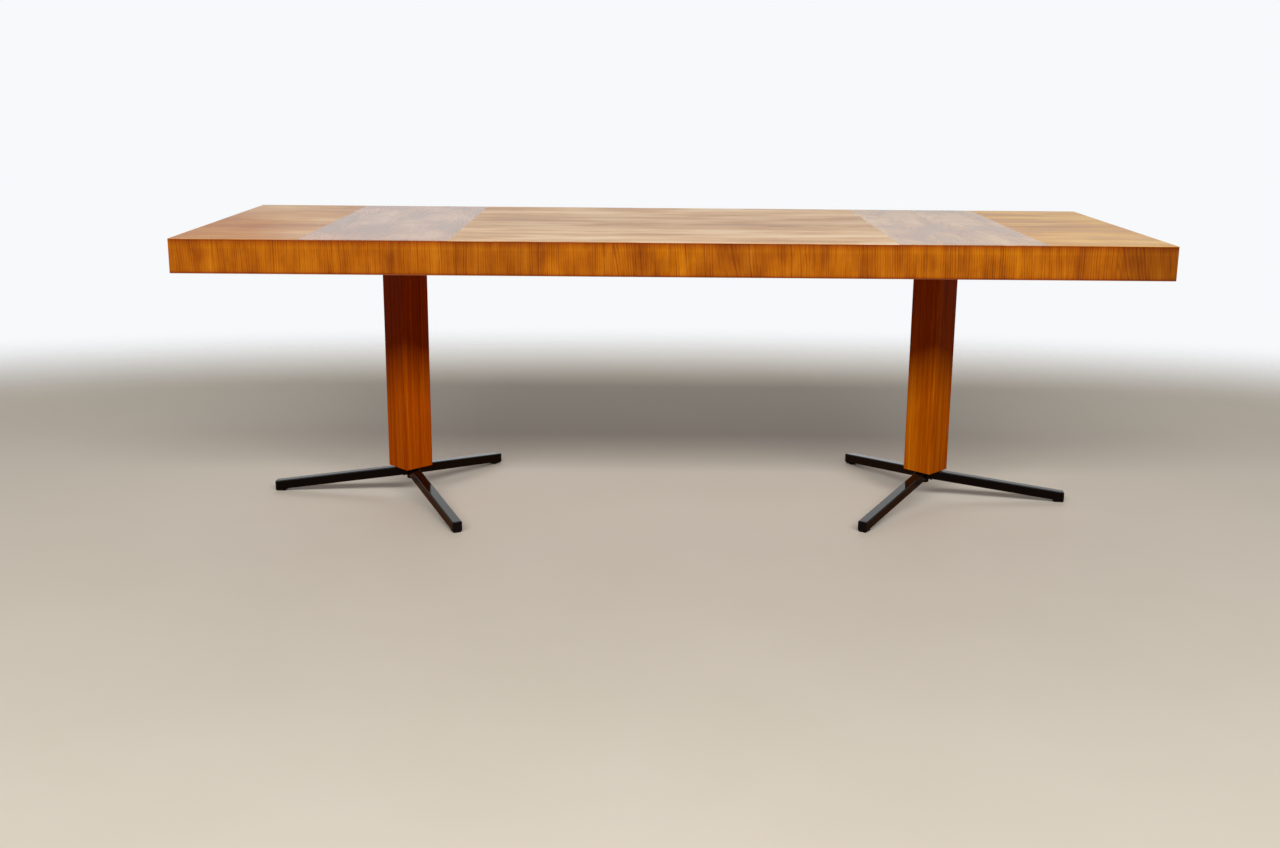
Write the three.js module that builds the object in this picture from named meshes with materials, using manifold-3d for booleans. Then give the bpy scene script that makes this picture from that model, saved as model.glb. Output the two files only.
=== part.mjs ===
import * as THREE from 'three';
import { mergeVertices } from 'three/addons/utils/BufferGeometryUtils.js';
import Module from 'manifold-3d';

const wasm = await Module();
wasm.setup();

// A long coffee table on two pedestals, in millimetres. X runs along the table, Y to the back and
// Z up from the floor. A hollow veneered top lies on two square posts of four mitred boards, each
// turned so that an arris faces the front. A long bolt clamps each post between a steel plate
// under the top and a hub with three sloping arms of square tube.

// Whole table
const tableLength = 1500;
const tableWidth = 525;
const tableHeight = 472;
const endOverhang = 304;
const pedestalSpacing = tableLength - 2 * endOverhang;

// Top
const topThickness = 52;
const faceVeneer = 0.8;
const edgeBand = 1;
const panelThickness = 6;
const railWidth = 45;
const crossBandWidth = 222;

// Posts
const postSide = 53;
const boardThickness = 12;
const postFootHeight = 50.5;
const plugLength = 40;
const glueGap = 0.3;

// Plate under the top and its screws
const plateSide = 120;
const plateThickness = 4;
const plateCorner = 8;
const screwInset = 14;
const screwHeadRadius = 4.2;
const screwHeadHeight = 2.6;
const screwShankRadius = 2.1;
const screwPointHeight = 5;
const screwLength = 30;

// Tie bolt, its nut and washer
const boltRadius = 4;
const boltHoleRadius = 4.5;
const hexAcrossFlats = 13;
const headHeight = 5.6;
const nutHeight = 6.5;
const boltProud = 2;
const nutRecessClearance = 0.8;
const washerRadius = 8;
const washerThickness = 1.6;

// Feet
const hubRadius = 13;
const hubHeight = 15.3;
const armSide = 16;
const armWall = 1.5;
const armCorner = 1.8;
const armBoreCorner = 0.6;
const armReach = 238;
const armTipHeight = 1.6;
const capThickness = 2.5;
const capPlugLength = 5;
const glideLength = 17;
const glideCorner = 1.5;
const leftFootTurn = THREE.MathUtils.degToRad(-3);
const rightFootTurn = THREE.MathUtils.degToRad(-5);

// Clearance between pieces that only rest on or pass through each other, and overrun of a cutter
const seatGap = 0.3;
const overrun = 1;

// Segments of a full turn, of a screw's full turn, of a rounded corner and of a bolt's head
const roundSteps = 32;
const screwSteps = 16;
const cornerSteps = 4;
const hexSides = 6;

// Heights that several pieces share
const underside = tableHeight - topThickness;
const coreTop = tableHeight - faceVeneer;
const coreBottom = underside + faceVeneer;
const postTop = underside - plateThickness;
const hubBottom = postFootHeight - hubHeight;
const hexCornerRadius = hexAcrossFlats / Math.sqrt(3);

// Slope of an arm whose top starts under the post at the hub and whose underside ends at the tip
const armRun = armReach - hubRadius;
const armTopAtHub = postFootHeight - seatGap;
const armDrop = armTopAtHub - armTipHeight;
const armSlope = Math.atan2(armDrop, armRun) - Math.asin(armSide / Math.hypot(armDrop, armRun));

const finishes = {
  faceVeneer: { color: 0xb5742f, roughness: 0.42, metalness: 0 },
  crossBand: { color: 0xb98f62, roughness: 0.45, metalness: 0 },
  edgeVeneer: { color: 0x9c5a17, roughness: 0.45, metalness: 0 },
  coreWood: { color: 0xcdb187, roughness: 0.8, metalness: 0 },
  postWood: { color: 0xa8541a, roughness: 0.42, metalness: 0 },
  blackLacquer: { color: 0x0c0b0b, roughness: 0.15, metalness: 0 },
  plainSteel: { color: 0x8d8f92, roughness: 0.4, metalness: 1 },
  blackenedSteel: { color: 0x1d1c1b, roughness: 0.45, metalness: 1 },
  blackPlastic: { color: 0x101010, roughness: 0.5, metalness: 0 },
};

function piece(name, geometry, finish) {
  const mesh = new THREE.Mesh(geometry, new THREE.MeshStandardMaterial(finishes[finish]));
  mesh.name = name;
  return mesh;
}

// Closed solid of a geometry, after it is moved by a matrix
function solidOf(geometry, matrix = new THREE.Matrix4()) {
  const bare = geometry.clone().applyMatrix4(matrix);
  bare.deleteAttribute('normal');
  bare.deleteAttribute('uv');
  const merged = mergeVertices(bare);
  const corners = merged.index.array;
  const kept = [];
  for (let i = 0; i < corners.length; i += 3) {
    const [a, b, c] = [corners[i], corners[i + 1], corners[i + 2]];
    if (a !== b && b !== c && c !== a) kept.push(a, b, c);
  }
  return new wasm.Manifold(new wasm.Mesh({
    numProp: 3,
    vertProperties: merged.attributes.position.array,
    triVerts: new Uint32Array(kept),
  }));
}

function geometryOf(solid) {
  const mesh = solid.getMesh();
  const geometry = new THREE.BufferGeometry();
  geometry.setAttribute('position', new THREE.BufferAttribute(mesh.vertProperties.slice(), 3));
  geometry.setIndex(new THREE.BufferAttribute(mesh.triVerts.slice(), 1));
  geometry.computeVertexNormals();
  return geometry;
}

// Cuts the cutters, placed in the same group as the mesh, out of the mesh
function cutFrom(mesh, cutters) {
  mesh.updateMatrix();
  const toMesh = mesh.matrix.clone().invert();
  let body = solidOf(mesh.geometry);
  for (const cutter of cutters) {
    cutter.updateMatrix();
    body = body.subtract(solidOf(cutter.geometry, toMesh.clone().multiply(cutter.matrix)));
  }
  mesh.geometry = geometryOf(body);
}

// Upright cylinder that stands on z = 0
function rod(radius, height, steps = roundSteps) {
  const geometry = new THREE.CylinderGeometry(radius, radius, height, steps);
  return geometry.rotateX(Math.PI / 2).translate(0, 0, height / 2);
}

// Upright solid of revolution through [radius, height] points
function turned(profile, steps = roundSteps) {
  const points = profile.map(([radius, height]) => new THREE.Vector2(radius, height));
  return new THREE.LatheGeometry(points, steps).rotateX(Math.PI / 2);
}

function ring(outer, inner, height) {
  return turned([[inner, 0], [outer, 0], [outer, height], [inner, height], [inner, 0]]);
}

function prism(shape, height) {
  return new THREE.ExtrudeGeometry(shape, {
    depth: height,
    bevelEnabled: false,
    curveSegments: cornerSteps,
  });
}

function polygonPath(Path, points) {
  const path = new Path();
  points.forEach(([x, y], i) => (i ? path.lineTo(x, y) : path.moveTo(x, y)));
  path.closePath();
  return path;
}

function roundedOutline(Path, length, width, corner) {
  const x = length / 2 - corner;
  const y = width / 2 - corner;
  const path = new Path();
  path.absarc(x, y, corner, 0, Math.PI / 2, false);
  path.absarc(-x, y, corner, Math.PI / 2, Math.PI, false);
  path.absarc(-x, -y, corner, Math.PI, Math.PI * 1.5, false);
  path.absarc(x, -y, corner, Math.PI * 1.5, Math.PI * 2, false);
  path.closePath();
  return path;
}

function roundedSquare(Path, side, corner) {
  return roundedOutline(Path, side, side, corner);
}

function circlePoints(radius, steps) {
  const points = [];
  for (let i = 0; i < steps; i++) {
    const angle = (2 * Math.PI * i) / steps;
    points.push([radius * Math.cos(angle), radius * Math.sin(angle)]);
  }
  return points;
}

// Flat box between two limits on each axis
function slab(name, xLimits, yLimits, zLimits, finish) {
  const limits = [xLimits, yLimits, zLimits];
  const sizes = limits.map(([low, high]) => high - low);
  const mesh = piece(name, new THREE.BoxGeometry(...sizes), finish);
  mesh.position.set(...limits.map(([low, high]) => (low + high) / 2));
  return mesh;
}

// Places of the four screws on a plate
function screwPlaces() {
  const reach = plateSide / 2 - screwInset;
  return [[reach, reach], [-reach, reach], [-reach, -reach], [reach, -reach]];
}

// Countersunk screw with its head's face at z = 0 and its point up, grown all round by a clearance
function screwBody(grow = 0) {
  return turned([
    [0, -grow],
    [screwHeadRadius + grow, -grow],
    [screwShankRadius + grow, screwHeadHeight],
    [screwShankRadius + grow, screwLength - screwPointHeight + grow],
    [0, screwLength + grow],
  ], screwSteps);
}

// What a pedestal's fastenings take out of the top and the plate
function fasteningCutters(side) {
  const x = (side * pedestalSpacing) / 2;
  const recessHeight = plateThickness + nutHeight + boltProud + nutRecessClearance;
  const recess = new THREE.Mesh(rod(hexCornerRadius + nutRecessClearance, recessHeight));
  recess.position.set(x, 0, postTop);
  const screws = screwPlaces().map(([dx, dy]) => {
    const cutter = new THREE.Mesh(screwBody(seatGap));
    cutter.position.set(x + dx, dy, postTop);
    return cutter;
  });
  return [recess, ...screws];
}

function makeTop() {
  const top = new THREE.Group();
  const halfLength = tableLength / 2;
  const halfWidth = tableWidth / 2;
  const coreHalfLength = halfLength - edgeBand;
  const coreHalfWidth = halfWidth - edgeBand;
  const railInside = coreHalfWidth - railWidth;
  const bandInner = (pedestalSpacing - crossBandWidth) / 2;
  const bandOuter = (pedestalSpacing + crossBandWidth) / 2;

  const fullWidth = [-halfWidth, halfWidth];
  const coreLengthwise = [-coreHalfLength, coreHalfLength];
  const coreAcross = [-coreHalfWidth, coreHalfWidth];
  const leafHeight = [coreTop, tableHeight];
  const bandHeight = [coreBottom, coreTop];
  const railHeight = [coreBottom + panelThickness, coreTop - panelThickness];

  // Five face leaves: two run across the table over the posts, the other three along it
  top.add(slab('left_end_leaf', [-halfLength, -bandOuter], fullWidth, leafHeight, 'faceVeneer'));
  top.add(slab('left_cross_band', [-bandOuter, -bandInner], fullWidth, leafHeight, 'crossBand'));
  top.add(slab('centre_leaf', [-bandInner, bandInner], fullWidth, leafHeight, 'faceVeneer'));
  top.add(slab('right_cross_band', [bandInner, bandOuter], fullWidth, leafHeight, 'crossBand'));
  top.add(slab('right_end_leaf', [bandOuter, halfLength], fullWidth, leafHeight, 'faceVeneer'));

  // Edge bands: the long ones cover the ends of the short ones
  const lengthwise = [-halfLength, halfLength];
  const frontBand = [-halfWidth, -coreHalfWidth];
  const backBand = [coreHalfWidth, halfWidth];
  top.add(slab('front_edge_band', lengthwise, frontBand, bandHeight, 'edgeVeneer'));
  top.add(slab('back_edge_band', lengthwise, backBand, bandHeight, 'edgeVeneer'));
  top.add(slab('left_edge_band', [-halfLength, -coreHalfLength], coreAcross, bandHeight, 'edgeVeneer'));
  top.add(slab('right_edge_band', [coreHalfLength, halfLength], coreAcross, bandHeight, 'edgeVeneer'));

  // Core: two panels on a frame of rails, with a solid block over each post
  const upperHeight = [coreTop - panelThickness, coreTop];
  top.add(slab('upper_panel', coreLengthwise, coreAcross, upperHeight, 'coreWood'));
  top.add(slab('front_rail', coreLengthwise, [-coreHalfWidth, -railInside], railHeight, 'coreWood'));
  top.add(slab('back_rail', coreLengthwise, [railInside, coreHalfWidth], railHeight, 'coreWood'));
  const endRail = [coreHalfLength - railWidth, coreHalfLength];
  const betweenRails = [-railInside, railInside];
  top.add(slab('left_end_rail', [-endRail[1], -endRail[0]], betweenRails, railHeight, 'coreWood'));
  top.add(slab('right_end_rail', endRail, betweenRails, railHeight, 'coreWood'));

  const lowerHeight = [coreBottom, coreBottom + panelThickness];
  const leftBand = [-bandOuter, -bandInner];
  const rightBand = [bandInner, bandOuter];
  const lowerPanel = slab('lower_panel', coreLengthwise, coreAcross, lowerHeight, 'coreWood');
  const backing = slab('backing_veneer', lengthwise, fullWidth, [underside, coreBottom], 'faceVeneer');
  const leftBlock = slab('left_mounting_block', leftBand, betweenRails, railHeight, 'coreWood');
  const rightBlock = slab('right_mounting_block', rightBand, betweenRails, railHeight, 'coreWood');
  cutFrom(lowerPanel, [...fasteningCutters(-1), ...fasteningCutters(1)]);
  cutFrom(backing, [...fasteningCutters(-1), ...fasteningCutters(1)]);
  cutFrom(leftBlock, fasteningCutters(-1));
  cutFrom(rightBlock, fasteningCutters(1));
  top.add(lowerPanel, backing, leftBlock, rightBlock);
  return top;
}

// Half diagonals of the post's outside and of its bore, and so the places of their arrises
const postArris = postSide / Math.SQRT2;
const boreArris = (postSide - 2 * boardThickness) / Math.SQRT2;
const plugArris = boreArris - glueGap * Math.SQRT2;

// One board of the post, from one arris to the next, mitred at both
function boardGeometry() {
  const outline = [[boreArris, 0], [postArris, 0], [0, postArris], [0, boreArris]];
  return prism(polygonPath(THREE.Shape, outline), postTop - postFootHeight);
}

function plugGeometry() {
  const outline = [[plugArris, 0], [0, plugArris], [-plugArris, 0], [0, -plugArris]];
  const shape = polygonPath(THREE.Shape, outline);
  shape.holes.push(polygonPath(THREE.Path, circlePoints(boltHoleRadius, roundSteps)));
  return prism(shape, plugLength);
}

function makePost(sideName) {
  const post = new THREE.Group();
  const quarters = ['back_right', 'back_left', 'front_left', 'front_right'];
  quarters.forEach((quarter, i) => {
    const board = piece(`${sideName}_post_board_${quarter}`, boardGeometry(), 'postWood');
    board.position.z = postFootHeight;
    board.rotation.z = (i * Math.PI) / 2;
    post.add(board);
  });
  const footPlug = piece(`${sideName}_post_foot_plug`, plugGeometry(), 'coreWood');
  footPlug.position.z = postFootHeight;
  const topPlug = piece(`${sideName}_post_top_plug`, plugGeometry(), 'coreWood');
  topPlug.position.z = postTop - plugLength;
  post.add(footPlug, topPlug);
  return post;
}

function makePlate(sideName) {
  const fixing = new THREE.Group();
  const shape = roundedSquare(THREE.Shape, plateSide, plateCorner);
  const plate = piece(`${sideName}_top_plate`, prism(shape, plateThickness), 'plainSteel');
  plate.position.z = postTop;
  const boltHole = new THREE.Mesh(rod(boltHoleRadius, plateThickness + 2 * overrun));
  boltHole.position.z = postTop - overrun;
  const sinks = screwPlaces().map(([x, y]) => {
    const sink = new THREE.Mesh(screwBody(seatGap));
    sink.position.set(x, y, postTop);
    return sink;
  });
  cutFrom(plate, [boltHole, ...sinks]);

  screwPlaces().forEach(([x, y], i) => {
    const screw = piece(`${sideName}_plate_screw_${i + 1}`, screwBody(), 'plainSteel');
    screw.position.set(x, y, postTop);
    fixing.add(screw);
  });

  const nutShape = polygonPath(THREE.Shape, circlePoints(hexCornerRadius, hexSides));
  nutShape.holes.push(polygonPath(THREE.Path, circlePoints(boltRadius + seatGap, roundSteps)));
  const nut = piece(`${sideName}_plate_nut`, prism(nutShape, nutHeight), 'plainSteel');
  nut.position.z = underside;
  fixing.add(plate, nut);
  return fixing;
}

function makeTieBolt(sideName) {
  const fastening = new THREE.Group();
  const headBottom = hubBottom - washerThickness - headHeight;
  const boltLength = underside + nutHeight + boltProud - headBottom;
  const head = solidOf(rod(hexCornerRadius, headHeight, hexSides));
  const headAndShank = geometryOf(head.add(solidOf(rod(boltRadius, boltLength))));
  const bolt = piece(`${sideName}_tie_bolt`, headAndShank, 'blackenedSteel');
  bolt.position.z = headBottom;
  const washerShape = ring(washerRadius, boltHoleRadius, washerThickness);
  const washer = piece(`${sideName}_bolt_washer`, washerShape, 'blackenedSteel');
  washer.position.z = headBottom + headHeight;
  fastening.add(bolt, washer);
  return fastening;
}

// Lies along X after the turn, with its end at x = 0
function alongArm(geometry) {
  return geometry.rotateY(Math.PI / 2);
}

// Box across an arm between two places along X, wider and taller than the arm
function acrossArm(from, to, height) {
  const box = new THREE.BoxGeometry(to - from, 2 * armSide, 4 * armSide);
  return box.translate((from + to) / 2, 0, height);
}

// Moulded end cap: an upright flange over the tube's end, a plug inside it, and a flat glide under
// it. It is made around the point on the floor below the middle of the cap's face.
function capGeometry(faceHeight) {
  const toFace = new THREE.Matrix4().makeRotationY(armSlope).setPosition(0, 0, faceHeight);
  const plugSide = armSide - 2 * (armWall + seatGap);
  const grownSide = armSide + 2 * seatGap;
  const bar = prism(roundedSquare(THREE.Shape, armSide, armCorner), 2 * armSide);
  const plug = prism(roundedSquare(THREE.Shape, plugSide, armBoreCorner), capPlugLength + capThickness / 2);
  const grownTube = prism(roundedSquare(THREE.Shape, grownSide, armCorner + seatGap), 3 * glideLength);
  alongArm(bar.translate(0, 0, -armSide));
  alongArm(plug.translate(0, 0, -capThickness - capPlugLength));
  alongArm(grownTube.translate(0, 0, -2 * glideLength));

  const glideWidth = armSide - 2 * armCorner;
  const glideShape = roundedOutline(THREE.Shape, glideLength, glideWidth, glideCorner);
  const glide = prism(glideShape, armTipHeight + armSide / 2);
  glide.translate(-glideLength / 2, 0, 0);

  const flangePlace = solidOf(acrossArm(-capThickness, 0, faceHeight));
  const tubePlace = solidOf(acrossArm(-2 * glideLength, -capThickness, faceHeight));
  const flange = solidOf(bar, toFace).intersect(flangePlace);
  const underTube = solidOf(glide).subtract(solidOf(grownTube, toFace).intersect(tubePlace));
  return geometryOf(underTube.add(flange).add(solidOf(plug, toFace)));
}

// One arm, along X from the hub, with its end cap. The tube's end and the cap's face are upright.
function makeArm(armName) {
  const arm = new THREE.Group();
  const overlongLength = armReach / Math.cos(armSlope) + armSide;
  const axisHeight = armTopAtHub + hubRadius * Math.tan(armSlope) - armSide / 2 / Math.cos(armSlope);
  const faceHeight = axisHeight - armReach * Math.tan(armSlope);
  const tubeEnd = armReach - capThickness - seatGap;

  const section = roundedSquare(THREE.Shape, armSide, armCorner);
  section.holes.push(roundedSquare(THREE.Path, armSide - 2 * armWall, armBoreCorner));
  const tube = piece(armName, alongArm(prism(section, overlongLength)), 'blackLacquer');
  tube.position.z = axisHeight;
  tube.rotation.y = armSlope;
  const hubPlace = new THREE.Mesh(rod(hubRadius + seatGap, tableHeight));
  const pastEnd = new THREE.Mesh(acrossArm(tubeEnd, armReach + 2 * armSide, faceHeight));
  cutFrom(tube, [hubPlace, pastEnd]);

  const cap = piece(`${armName}_end_cap`, capGeometry(faceHeight), 'blackPlastic');
  cap.position.x = armReach;
  arm.add(tube, cap);
  return arm;
}

// Hub and three arms a third of a turn apart, the outer one along X
function makeFoot(sideName, side) {
  const foot = new THREE.Group();
  const hub = piece(`${sideName}_hub`, ring(hubRadius, boltHoleRadius, hubHeight), 'blackLacquer');
  hub.position.z = hubBottom;
  foot.add(hub);
  const thirdTurn = (2 * Math.PI) / 3;
  const directions = { outer: 0, back: side * thirdTurn, front: -side * thirdTurn };
  for (const [direction, angle] of Object.entries(directions)) {
    const arm = makeArm(`${sideName}_${direction}_arm`);
    arm.rotation.z = angle;
    foot.add(arm);
  }
  return foot;
}

function makePedestal(sideName, side, footTurn) {
  const pedestal = new THREE.Group();
  pedestal.position.x = (side * pedestalSpacing) / 2;
  const foot = makeFoot(sideName, side);
  const outward = side > 0 ? 0 : Math.PI;
  foot.rotation.z = outward + footTurn;
  pedestal.add(makePost(sideName), makePlate(sideName), makeTieBolt(sideName), foot);
  return pedestal;
}

const table = new THREE.Group();
table.add(makeTop());
table.add(makePedestal('left', -1, leftFootTurn));
table.add(makePedestal('right', 1, rightFootTurn));

export default table;
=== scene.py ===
import math

import bmesh
import bpy
from mathutils import Matrix, Vector


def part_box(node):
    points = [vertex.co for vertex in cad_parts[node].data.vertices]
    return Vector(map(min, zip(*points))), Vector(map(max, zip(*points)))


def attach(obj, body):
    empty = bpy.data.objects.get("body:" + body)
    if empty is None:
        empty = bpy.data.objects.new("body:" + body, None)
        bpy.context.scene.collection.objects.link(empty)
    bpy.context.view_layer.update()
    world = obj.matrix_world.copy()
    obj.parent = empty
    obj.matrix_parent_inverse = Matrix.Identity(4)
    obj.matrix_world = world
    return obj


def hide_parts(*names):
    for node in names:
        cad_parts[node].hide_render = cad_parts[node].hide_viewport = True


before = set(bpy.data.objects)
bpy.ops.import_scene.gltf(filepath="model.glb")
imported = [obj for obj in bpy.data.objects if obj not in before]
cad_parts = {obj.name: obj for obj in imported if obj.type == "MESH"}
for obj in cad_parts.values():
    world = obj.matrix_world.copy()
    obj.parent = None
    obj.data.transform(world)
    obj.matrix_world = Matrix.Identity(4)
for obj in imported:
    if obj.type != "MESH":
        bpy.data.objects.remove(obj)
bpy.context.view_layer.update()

# Foot arms. Six lengths of square steel tube, cut round the hub at one end and welded to it,
# then sprayed gloss black. Each falls about eight degrees to its tip, which is cut upright. The
# first one is made along X from the pedestal's axis, and the others are turned copies of it.
mm = 0.001
arm_side = 16 * mm
arm_wall = 1.5 * mm
arm_corner = 1.8 * mm
arm_reach = 238 * mm
arm_top_at_hub = 50.2 * mm
tip_height = 1.6 * mm
cap_thickness = 2.5 * mm
seat_gap = 0.3 * mm
merge_distance = 0.001 * mm
hub_radius = 13 * mm
hub_clearance = 0.05 * mm
hub_cut_height = 300 * mm
bead_radius = 1.3 * mm
bead_waist_share = 0.84
bead_step = 1.1 * mm
bead_clearance = 0.4 * mm
bead_below_arm = 1.6 * mm
bead_below_top = 2.5 * mm
arm_drop = arm_top_at_hub - tip_height
arm_run = arm_reach - hub_radius
arm_fall = math.atan2(arm_drop, arm_run) - math.asin(arm_side / math.hypot(arm_drop, arm_run))
arm_axis = arm_top_at_hub + hub_radius * math.tan(arm_fall) - arm_side / 2 / math.cos(arm_fall)
post_place = {"left": -446 * mm, "right": 446 * mm}
arm_bearings = {
    "left": {"outer": 177, "back": 57, "front": -63},
    "right": {"outer": -5, "back": 115, "front": -125},
}


def only(piece):
    """Selects this piece alone and makes it the active one."""
    bpy.ops.object.select_all(action="DESELECT")
    piece.select_set(True)
    bpy.context.view_layer.objects.active = piece


def applied(piece):
    """Moves the piece's place and turn into its mesh."""
    only(piece)
    bpy.ops.object.transform_apply(location=True, rotation=True, scale=True)


def started(name):
    """The piece just added, under its name, with its place in its mesh, open in edit mode."""
    piece = bpy.context.object
    piece.name = piece.data.name = name
    applied(piece)
    bpy.ops.object.mode_set(mode="EDIT")
    bpy.ops.mesh.select_all(action="SELECT")
    return piece


def pick(kind, wanted):
    """Selects only the vertices, edges or faces that are wanted."""
    bpy.ops.mesh.select_all(action="DESELECT")
    bpy.ops.mesh.select_mode(type=kind)
    shape = bmesh.from_edit_mesh(bpy.context.object.data)
    parts = {"VERT": shape.verts, "EDGE": shape.edges, "FACE": shape.faces}[kind]
    for part in parts:
        if wanted(part):
            part.select_set(True)
    shape.select_flush_mode()
    bmesh.update_edit_mesh(bpy.context.object.data)


def extrude(x=0, z=0):
    """Draws what is selected out along X or Z."""
    bpy.ops.mesh.extrude_region_move(TRANSFORM_OT_translate={"value": (x, 0, z)})


def out_of_edit():
    """Closes edit mode with the doubles merged and every face turned outwards."""
    bpy.ops.mesh.select_all(action="SELECT")
    bpy.ops.mesh.remove_doubles(threshold=merge_distance)
    bpy.ops.mesh.normals_make_consistent(inside=False)
    bpy.ops.object.mode_set(mode="OBJECT")


def sawn(piece, place, way):
    """Saws off, upright across X, what lies past a place, and closes the cut."""
    only(piece)
    bpy.ops.object.mode_set(mode="EDIT")
    bpy.ops.mesh.select_all(action="SELECT")
    bpy.ops.mesh.bisect(
        plane_co=(place, 0, 0), plane_no=(way, 0, 0), use_fill=True, clear_outer=True
    )
    out_of_edit()


def modified(piece, kind, **settings):
    """Adds a modifier to the piece and applies it."""
    only(piece)
    bpy.ops.object.modifier_add(type=kind)
    modifier = piece.modifiers[-1]
    for setting, value in settings.items():
        setattr(modifier, setting, value)
    bpy.ops.object.modifier_apply(modifier=modifier.name)


def combined(piece, tool, operation):
    """Cuts the tool out of the piece or joins it on, and clears the tool away."""
    modified(piece, "BOOLEAN", object=tool, operation=operation, solver="EXACT")
    bpy.data.objects.remove(tool)


def copied(piece, name):
    """A copy of the piece, with a mesh of its own."""
    copy = piece.copy()
    copy.data = piece.data.copy()
    copy.name = copy.data.name = name
    bpy.context.scene.collection.objects.link(copy)
    return copy


def smoothed(piece, angle=40):
    """Smooth rounded edges between faces that stay flat."""
    only(piece)
    bpy.ops.object.shade_smooth_by_angle(angle=math.radians(angle))
    modified(piece, "WEIGHTED_NORMAL", keep_sharp=True)


def fitted(piece, node, finish):
    """Gives a finished piece its material, and hands it to the frame in its node's place."""
    piece.data.materials.clear()
    piece.data.materials.append(finish)
    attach(piece, "root")
    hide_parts(node)


class Socket:
    """An output of a node in a material. Arithmetic on it adds Math nodes."""

    def __init__(self, tree, output):
        self.tree = tree
        self.output = output

    def node(self, kind, settings, values, output=0):
        """Adds a node: first its settings, then the values or links of its sockets."""
        node = self.tree.nodes.new(kind)
        for name, setting in settings.items():
            if name == "stops":
                ramp = node.color_ramp
                while len(ramp.elements) < len(setting):
                    ramp.elements.new(1)
                for element, (position, colour) in zip(ramp.elements, setting):
                    element.position = position
                    element.color = colour
            else:
                setattr(node, name, setting)
        for name, value in values.items():
            if isinstance(value, Socket):
                self.tree.links.new(value.output, node.inputs[name])
            else:
                node.inputs[name].default_value = value
        return Socket(self.tree, node.outputs[output])

    def math(self, operation, *values):
        numbered = dict(enumerate((self, *values)))
        return self.node("ShaderNodeMath", {"operation": operation}, numbered)

    def __add__(self, other):
        return self.math("ADD", other)

    def __sub__(self, other):
        return self.math("SUBTRACT", other)

    def __mul__(self, other):
        return self.math("MULTIPLY", other)

    def __truediv__(self, other):
        return self.math("DIVIDE", other)

    def __rsub__(self, other):
        return self.node("ShaderNodeMath", {"operation": "SUBTRACT"}, {0: other, 1: self})

    __radd__ = __add__
    __rmul__ = __mul__

    def eased(self, low, high, bottom=0.0, top=1.0):
        """A smooth step from one value to another."""
        settings = {"interpolation_type": "SMOOTHSTEP"}
        values = {0: self, 1: low, 2: high, 3: bottom, 4: top}
        return self.node("ShaderNodeMapRange", settings, values)

    def noise(self, scale, detail=2.0, roughness=0.5, stretch=(1, 1, 1), shift=(0, 0, 0)):
        """Noise read at this place, stretched by a Mapping node."""
        values = {"Vector": self, "Location": shift, "Scale": stretch}
        place = self.node("ShaderNodeMapping", {}, values)
        values = {"Vector": place, "Scale": scale, "Detail": detail, "Roughness": roughness}
        return self.node("ShaderNodeTexNoise", {}, values)

    def blended(self, first, second, way="MIX"):
        """Two colours blended by this mask."""
        settings = {"data_type": "RGBA", "blend_type": way}
        return self.node("ShaderNodeMix", settings, {0: self, 6: first, 7: second}, 2)

    def bump(self, strength, distance):
        values = {"Height": self, "Strength": strength, "Distance": distance}
        return self.node("ShaderNodeBump", {}, values)


def new_finish(name):
    """A material's Principled shader, and the Object place that its nodes start from."""
    material = bpy.data.materials.new(name)
    material.use_nodes = True
    tree = material.node_tree
    place = tree.nodes.new("ShaderNodeTexCoord").outputs["Object"]
    return material, tree.nodes["Principled BSDF"].inputs, Socket(tree, place)


def link(socket, value):
    """Links a shader's socket to another output, or sets it to a plain value."""
    if isinstance(value, Socket):
        value.tree.links.new(value.output, socket)
    else:
        socket.default_value = value


def rgb(red, green, blue):
    """A colour written as it shows on a screen, from 0 to 255."""
    linear = [((c / 255 + 0.055) / 1.055) ** 2.4 if c > 10 else c / 3295
              for c in (red, green, blue)]
    return (*linear, 1)


def black_lacquer():
    material, shader, place = new_finish("gloss_black_lacquer")
    orange_peel = place.noise(420, 2, 0.5)
    dust = place.noise(2600, 3, 0.7).eased(0.62, 0.78)
    rubbed = place.noise(38, 4, 0.6).eased(0.5, 0.72)
    base = (dust * 0.1).blended(rgb(3, 3, 3), rgb(70, 66, 60))
    link(shader["Base Color"], base)
    link(shader["Roughness"], 0.06 + rubbed * 0.1 + dust * 0.12)
    shader["Specular IOR Level"].default_value = 0.165
    link(shader["Normal"], orange_peel.bump(0.12, 0.15 * mm))
    return material


lacquer = black_lacquer()

bpy.ops.mesh.primitive_plane_add(size=arm_side, rotation=(0, math.pi / 2, 0))
arm = started("first_arm")
bpy.ops.mesh.bevel(offset=arm_corner, segments=6, affect="VERTICES")
bpy.ops.mesh.select_all(action="SELECT")
extrude(x=arm_reach / math.cos(arm_fall) + arm_side)
pick("FACE", lambda face: abs(face.normal.x) > 0.9)
bpy.ops.mesh.delete(type="FACE")
out_of_edit()
modified(arm, "SOLIDIFY", thickness=arm_wall, offset=-1, use_even_offset=True)
arm.rotation_euler.y = arm_fall
arm.location.z = arm_axis
applied(arm)
bpy.ops.mesh.primitive_cylinder_add(vertices=96, radius=hub_radius + hub_clearance,
                                    depth=hub_cut_height)
combined(arm, bpy.context.object, "DIFFERENCE")
sawn(arm, arm_reach - cap_thickness - seat_gap, 1)
smoothed(arm)


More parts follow.
